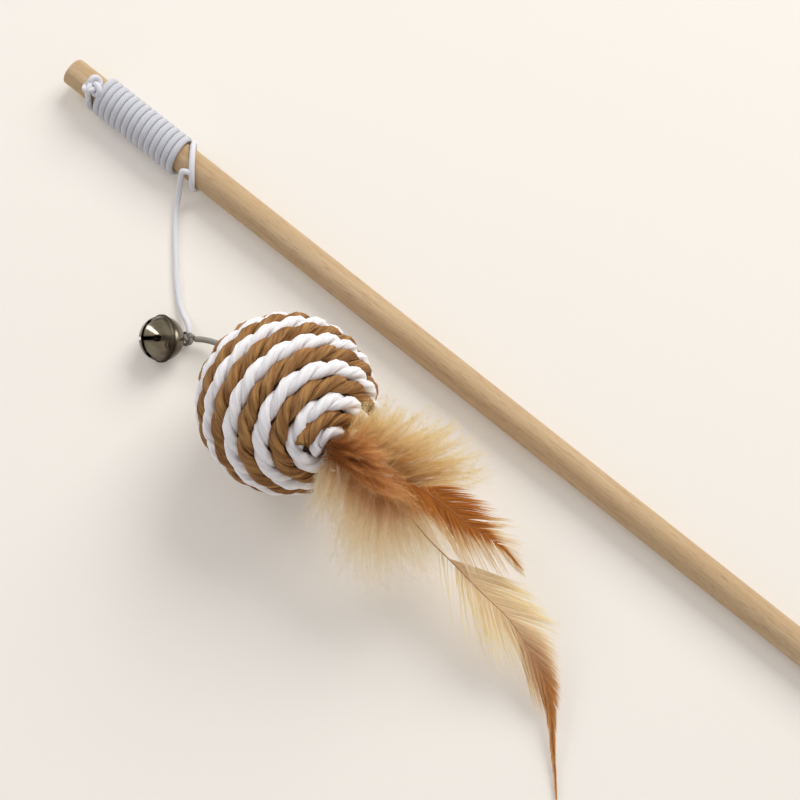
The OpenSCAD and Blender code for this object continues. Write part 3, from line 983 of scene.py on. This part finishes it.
# %% Groom a plume
BARB_POINTS, ROOT_POINTS, BARB_HALF, HAIR_HALF = 9, 3, 0.045, 0.022
LOCK, GOLDEN, FAN, LONG_BIAS = 4, 0.618034, 1.4, 0.55
CURLS, CURL_LENGTH = ((0.8, 1), (1.9, 0.45)), 18
OWN_PLACE, OWN_STRAY, OWN_ROOT, OWN_PHASE = 0.12, 0.4, 0.3, 0.35
HAIR_SLANT, SLANT_SPREAD, LEAST_CLEAR = 42, 12, 0.8


def points_at(wanted, known, points):
    """Points at these places of a line, where known says at which places its own points are."""
    return np.stack([np.interp(wanted, known, points[:, k]) for k in range(3)], axis=-1)


def resample(points, count):
    """The smooth line through the points, in even steps."""
    line = smooth_line(points, 8)
    at = distances(line)
    return points_at(np.linspace(0, at[-1], count), at, np.array(line))


def barbules(paths, along, chance, each, length, rng):
    """Fine hairs, so many for each barb, set round it and leaning to its tip."""
    count, steps = paths.shape[:2]
    which = np.repeat(np.arange(count), each)
    place = rng.uniform(0.04, 0.999, len(which)) * (steps - 1)
    low = place.astype(int)
    share = (place - low)[:, None]
    root = paths[which, low] * (1 - share) + paths[which, low + 1] * share
    ahead = unit(paths[which, low + 1] - paths[which, low])
    side = unit(np.cross(ahead, rng.normal(0, 1, ahead.shape)))
    slant = np.radians(rng.normal(HAIR_SLANT, SLANT_SPREAD, len(which)))[:, None]
    reach = length * MM * rng.uniform(0.5, 1.3, len(which)) * (1.1 - 0.5 * place / (steps - 1))
    tip = root + (ahead * np.cos(slant) + side * np.sin(slant)) * reach[:, None]
    widths = np.broadcast_to(np.array((HAIR_HALF, HAIR_HALF * 0.3)) * MM, (len(which), 2))
    far = along[which, low] * (1 - share[:, 0]) + along[which, low + 1] * share[:, 0]
    return (np.stack([root, tip], axis=1), widths,
            {"along": far[:, None], "tint": chance[which][:, None]})


def plume(node, guides, count, finish, seed, scatter=1.6, deep=2.2,
          root_scatter=1.1, wave=0.9, shortest=0.4, hairs=110, hair=1.5):
    """Each guide is a row: across, down and height of its root, its middle and its tip. scatter and
    deep are how far tips stray in the picture's plane and toward the camera, in millimetres. wave
    is the size of the curls, shortest the least share of a guide, and hair a hair's length."""
    name = node + "_down"
    combed = np.array([resample([spot(*g[k:k + 3]) for k in (0, 3, 6)], BARB_POINTS)
                       for g in guides])
    lengths = np.linalg.norm(np.diff(combed, axis=1), axis=2).sum(axis=1) / MM
    rng = np.random.default_rng(seed)
    u, last = np.linspace(0, 1, BARB_POINTS), len(guides) - 1.001
    view_axes = np.array([view_right, view_up, back])
    paths, reaches = [], []
    for n in range(count):
        if n % LOCK == 0:
            lock_at = (n // LOCK * GOLDEN + rng.uniform(0, 0.1)) % 1 * last
            lock_root, lock_stray = rng.normal(0, root_scatter, 3), rng.normal(0, 1, 3)
            curls = [(beats * rng.uniform(0.6, 1.4), rng.uniform(0, math.tau),
                      unit(rng.normal(0, 1, 3)) * wave * size * rng.uniform(0.3, 1.6) * MM)
                     for beats, size in CURLS]
        place = min(max(lock_at + rng.normal(0, OWN_PLACE), 0), last)
        i, w = int(place), place - int(place)
        path = combed[i] * (1 - w) + combed[i + 1] * w
        reach = shortest + (1 - shortest) * rng.random() ** LONG_BIAS
        path = points_at(u * reach, u, path)
        stray = (lock_stray + rng.normal(0, OWN_STRAY, 3)) * (scatter, scatter, deep) * MM
        path += (lock_root + rng.normal(0, OWN_ROOT, 3)) * MM * (1, 1, 0.7)
        path += np.outer(u ** FAN, stray @ view_axes)
        for beats, phase, swing in curls:
            beat = np.sin(phase + rng.normal(0, OWN_PHASE) + u * math.tau * beats)
            path += np.outer(beat * u, swing) * min(1, reach * lengths[i] / CURL_LENGTH)
        if clear_of_ball(path[ROOT_POINTS:]) < LEAST_CLEAR:
            continue
        paths.append(path)
        reaches.append(reach)
    count, reaches = len(paths), np.array(reaches)
    paths = keep_off_ball(np.array(paths), rng.uniform(0.3, 0.8, (count, 1, 1)))
    along, chance = u * reaches[:, None], rng.random(count)
    taper = BARB_HALF * MM * np.minimum(1, (1 - u) * 1.6 + 0.15) * rng.uniform(0.7, 1.3, (count, 1))
    parts = [strands(name, paths, taper, {"along": along, "tint": chance[:, None]}),
             strands(name + "_hairs", *barbules(paths, along, chance, hairs, hair, rng))]
    piece = stand_in(joined(name, parts), finish, "lure", node)
    keep_over_table(piece)
    print(name, len(piece.data.polygons), "faces")


down_gold = feather_finish("feather_down_gold", [
    (0.0, 196, 144, 86), (0.1, 230, 192, 132), (0.26, 242, 221, 170), (1.0, 251, 242, 206)],
    through=0.63, streaks=0.15, gloss=0.05)
down_pale = feather_finish("feather_down_pale", [
    (0.0, 206, 162, 114), (0.1, 236, 208, 168), (0.26, 250, 240, 217), (1.0, 254, 252, 244)],
    through=0.68, streaks=0.12, gloss=0.05)
down_rust = feather_finish("feather_rust_down", [
    (0.0, 164, 104, 54), (0.4, 206, 145, 84), (0.66, 236, 190, 130), (1.0, 244, 214, 160)],
    through=0.5, streaks=0.2, gloss=0.05)

plume("plume_upper", [
    (342, 446, 37, 349, 436, 38, 358, 427, 38),
    (348, 447, 37, 360, 433, 38, 373, 420, 37),
    (355, 449, 37, 371, 430, 38, 385, 411, 35),
    (362, 452, 36, 382, 432, 37, 399, 408, 34),
    (368, 455, 36, 392, 435, 37, 417, 411, 32),
    (374, 459, 35, 402, 440, 36, 432, 416, 30),
    (380, 463, 34, 410, 446, 35, 447, 420, 28),
    (382, 468, 34, 418, 452, 33, 457, 430, 26),
    (385, 473, 33, 426, 459, 31, 467, 438, 24),
    (388, 478, 32, 432, 465, 29, 479, 448, 22),
    (391, 482, 31, 438, 471, 27, 488, 457, 20),
    (395, 485, 30, 442, 477, 26, 490, 469, 18),
    (399, 488, 29, 444, 482, 25, 486, 480, 17),
], 600, down_gold, 3, scatter=1.7, wave=2.0, root_scatter=1.5, hairs=95, hair=1.7)

plume("plume_lower", [
    (338, 454, 36, 332, 484, 31, 324, 510, 25),
    (344, 459, 35, 336, 498, 29, 329, 534, 20),
    (352, 466, 35, 343, 510, 28, 335, 554, 15),
    (361, 473, 35, 352, 524, 26, 347, 573, 12),
    (370, 481, 34, 363, 534, 24, 363, 596, 9),
    (380, 489, 33, 378, 540, 23, 384, 588, 9),
    (389, 493, 32, 396, 545, 21, 404, 584, 9),
    (398, 494, 31, 410, 542, 19, 426, 576, 8),
    (404, 492, 30, 424, 535, 19, 446, 567, 9),
    (409, 490, 29, 436, 522, 20, 462, 555, 12),
], 600, down_pale, 4, scatter=2.2, wave=2.4, root_scatter=1.5, hairs=85, hair=1.9)

plume("plume_left", [
    (334, 450, 36, 322, 463, 33, 314, 474, 29),
    (336, 452, 35, 324, 475, 31, 317, 492, 25),
    (338, 455, 34, 328, 486, 29, 323, 513, 20),
    (341, 458, 33, 334, 495, 27, 330, 532, 16),
], 180, down_pale, 5, deep=1.8, wave=1.4, hairs=85)

plume("plume_under", [
    (345, 460, 28, 345, 510, 20, 350, 562, 9),
    (360, 470, 27, 362, 528, 17, 366, 600, 5),
    (378, 482, 26, 386, 535, 15, 396, 594, 4),
    (392, 490, 25, 410, 536, 13, 434, 578, 3),
    (402, 488, 25, 430, 532, 14, 458, 566, 5),
], 300, down_pale, 6, deep=1.5, wave=1.5, hairs=80)

plume("plume_tuft", [
    (333, 446, 38, 350, 438, 40, 370, 430, 38),
    (333, 448, 38, 357, 446, 41, 380, 441, 40),
    (334, 449, 38, 360, 453, 41, 384, 453, 39),
    (334, 450, 38, 363, 460, 40, 389, 465, 38),
    (335, 451, 38, 366, 466, 40, 398, 477, 36),
    (335, 452, 38, 369, 472, 39, 408, 490, 35),
    (336, 453, 38, 373, 476, 38, 424, 504, 32),
    (337, 454, 37, 375, 480, 37, 424, 518, 30),
], 430, down_rust, 7, scatter=1.7, deep=1.2, shortest=0.45, hair=1.7, wave=1.8)

# %% [markdown]
# ## The two hackles
#
# Along a hackle's shaft the barbs leave at a slant and lie flat. Tables give their length and
# slant for each side. Neighbouring barbs hold together in groups, and between groups the vane
# splits. Toward its edge the vane frays, because not all barbs are whole.

# %% Lines of the shafts
BEAD_Z, LONG_LEN = 25.17, 110
BEAD_AT = ball_frame @ (Vector((0, 0, BEAD_Z)) * MM)
LONG_SHARES = [
    (-0.109, 0, -0.06), (-0.203, -0.008, -0.067), (-0.281, -0.003, -0.104),
    (-0.34, -0.005, -0.139), (-0.43, -0.005, -0.185), (-0.522, -0.004, -0.22),
    (-0.598, 0.015, -0.247), (-0.665, 0.042, -0.275), (-0.719, 0.083, -0.292),
    (-0.765, 0.13, -0.309), (-0.811, 0.178, -0.32), (-0.857, 0.227, -0.325)]
long_line = smooth_line([BEAD_AT, *[BEAD_AT + Vector(s) * LONG_LEN * MM for s in LONG_SHARES]], 8)
SHORT_PLACES = [
    (374, 462, 34), (402, 479, 32), (424, 491, 31), (444, 505, 28.5), (464, 521, 25.5),
    (484, 534, 22.5), (505, 550, 19.5), (522, 570, 16)]
short_line = smooth_line([BEAD_AT, *[spot(*p) for p in SHORT_PLACES]], 8)
print("shafts:", round(line_length(long_line) / MM), round(line_length(short_line) / MM), "mm")

# %% Comb a hackle
LEFT, RIGHT = 1, -1
BARB_GAP, VANE_HALF = 0.1, 0.12
SPLIT_LEAST, SPLIT_MOST, GROUP_TURN, GROUP_LENGTH = 0.006, 0.03, 2.0, 0.04
BEND_BACK, BEND, THINNING = 0.4, 0.16, 0.85


def hackle(name, line, sides, finish, shaft_of, seed, node, shaft_r):
    """sides holds, for the left and the right of the shaft, a list of (share of the shaft, barb
    length, slant in degrees, droop, raggedness, fraying, fading, fullness); barbs stand where it
    runs, and where it isn't full some are left out."""
    cloud = np.array(line)
    gone = np.concatenate([[0], np.cumsum(np.linalg.norm(np.diff(cloud, axis=0), axis=1))])
    total = gone[-1]

    def on_shaft(far):
        return points_at(far, gone, cloud)

    rng = np.random.default_rng(seed)
    u, rows = np.linspace(0, 1, BARB_POINTS), []
    for hand, table_of in sides.items():
        marks = np.array(table_of)
        low, high = marks[0, 0], marks[-1, 0]
        count = int((high - low) * total / MM / BARB_GAP)
        offset, until = 0.0, 0.0
        for i in range(count):
            s = low + (high - low) * (i + rng.random()) / count
            if s > until:
                until = s + rng.uniform(SPLIT_LEAST, SPLIT_MOST)
                offset = rng.normal(0, 1)
            full, slant, droop, ragged, fray, fade, kept = (
                np.interp(s, marks[:, 0], marks[:, k]) for k in range(1, 8))
            if rng.random() > kept:
                continue
            ahead = unit(on_shaft(min(s * total + MM, total)) - on_shaft(s * total - MM))
            flat = unit(np.array(UP) - ahead * ahead[2])
            across = np.cross(ahead, flat) * hand
            a = math.radians(slant + offset * GROUP_TURN * ragged + rng.normal(0, 0.7 + ragged))
            part = (1 - fray * rng.random()) * (1 + GROUP_LENGTH * offset * ragged)
            reach = full * MM * part
            out = across * math.sin(a) + ahead * math.cos(a)
            bend = (ahead - out * BEND_BACK) * BEND
            path = on_shaft(s * total) + np.outer(u, out) * reach + np.outer(u ** 2, bend) * reach
            lift = u * u * (-droop * part) + u * rng.normal(0, 0.25 + 0.5 * ragged)
            rows.append((
                path + np.outer(lift, flat) * MM,
                VANE_HALF * MM * np.minimum(1, (1 - u) * 2 + 0.06) * rng.uniform(0.6, 1.2),
                flat + rng.normal(0, 0.15, 3), u * part * fade, [rng.random()], [s]))
    paths, widths, faces, *values = (np.array(column) for column in zip(*rows))
    barbs = strands(name, paths, widths, dict(zip(("along", "tint", "station"), values)), faces)
    keep_over_table(barbs)
    sizes = [shaft_r * (1 - THINNING * i / (len(line) - 1)) for i in range(len(line))]
    shaft = sweep(name + "_shaft", line, UP, oval(MM, MM, 8), sizes=sizes)
    stand_in(barbs, finish, "lure", node)
    stand_in(shaft, shaft_of, "lure")
    print(name, len(barbs.data.polygons), "faces")


def shaft_finish(name, light, dark):
    made = Finish(name, light, roughness=0.4)
    made.color(made.mix(made.noise(made.place(), 300.0), light, dark))
    return made


shaft_tan = shaft_finish("feather_shaft_tan", tone(196, 148, 96), tone(172, 122, 72))
shaft_rust = shaft_finish("feather_shaft_rust", tone(176, 104, 46), tone(146, 82, 32))
vane_tan = feather_finish(
    "feather_tan", [(0.0, 244, 222, 180), (0.45, 250, 236, 200), (1.0, 252, 242, 208)],
    [(0.0, 192, 122, 54), (0.6, 212, 152, 84), (1.0, 238, 210, 156)], streaks=0.2)
vane_rust = feather_finish("feather_rust", [
    (0.0, 188, 112, 36), (0.38, 206, 134, 56), (0.66, 238, 210, 156), (1.0, 250, 236, 208)],
    through=0.35)

hackle("long_hackle", long_line, {
    RIGHT: [(0.368, 18, 27, 1, 0.4, 0.25, 0.7, 1), (0.388, 21, 27, 1, 0.4, 0.2, 0.8, 1),
            (0.394, 22, 31, 1, 0.7, 0.2, 0.9, 1), (0.47, 19, 31, 1, 0.7, 0.2, 0.9, 1),
            (0.57, 14, 29, 1, 0.5, 0.2, 0.9, 1), (0.65, 10, 25, 1, 0.4, 0.2, 0.9, 1),
            (0.73, 7, 18, 0.5, 0.3, 0.2, 0.9, 1), (0.8, 5, 12, 0.3, 0.3, 0.2, 0.9, 1),
            (0.87, 4, 8, 0, 0.3, 0.2, 0.9, 1), (0.99, 2, 5, 0, 0.2, 0.1, 0.9, 1)],
    LEFT: [(0.33, 20, 47, 3, 1.6, 0.8, 1.8, 0.05), (0.38, 24, 45, 3, 1.5, 0.8, 1.7, 0.2),
           (0.42, 25, 41, 3, 1.4, 0.75, 1.5, 0.45), (0.47, 22, 35, 2, 1.3, 0.6, 1.3, 0.75),
           (0.57, 21, 22, 2, 0.9, 0.5, 1.0, 1), (0.65, 18, 18, 1, 0.8, 0.5, 1.0, 1),
           (0.73, 11, 13, 0.5, 0.5, 0.4, 1.0, 1), (0.8, 6, 9, 0, 0.4, 0.3, 1.0, 1),
           (0.99, 2, 5, 0, 0.2, 0.1, 1.0, 1)],
}, vane_tan, shaft_tan, 11, "feather_long", shaft_r=0.2)

hackle("short_hackle", short_line, {
    RIGHT: [(0.4, 12, 36, 1, 0.3, 0.25, 0.5, 0.9), (0.5, 14, 37, 1, 0.3, 0.25, 0.55, 1),
            (0.58, 15, 36, 1, 0.6, 0.45, 0.8, 1), (0.68, 14, 33, 0.5, 0.9, 0.6, 1.2, 0.9),
            (0.76, 11, 28, 0.3, 0.8, 0.6, 2.2, 0.6), (0.84, 8, 22, 0.2, 0.7, 0.5, 3.0, 0.4),
            (0.92, 5, 15, 0, 0.5, 0.4, 3.0, 0.35), (0.99, 2, 8, 0, 0.3, 0.2, 2.0, 0.4)],
    LEFT: [(0.3, 14, 36, 2, 0.6, 0.5, 0.8, 0.8), (0.42, 20, 34, 3, 0.8, 0.65, 1.1, 1),
           (0.53, 22, 33, 3, 0.9, 0.65, 1.5, 1), (0.63, 19, 31, 2, 1.0, 0.65, 1.9, 1),
           (0.72, 15, 29, 1.5, 1.0, 0.6, 2.6, 0.8), (0.8, 11, 25, 1, 0.9, 0.6, 3.0, 0.6),
           (0.88, 7, 20, 0.5, 0.6, 0.5, 2.8, 0.5), (0.99, 3, 10, 0, 0.3, 0.2, 2.0, 0.4)],
}, vane_rust, shaft_rust, 12, "feather_short", shaft_r=0.22)
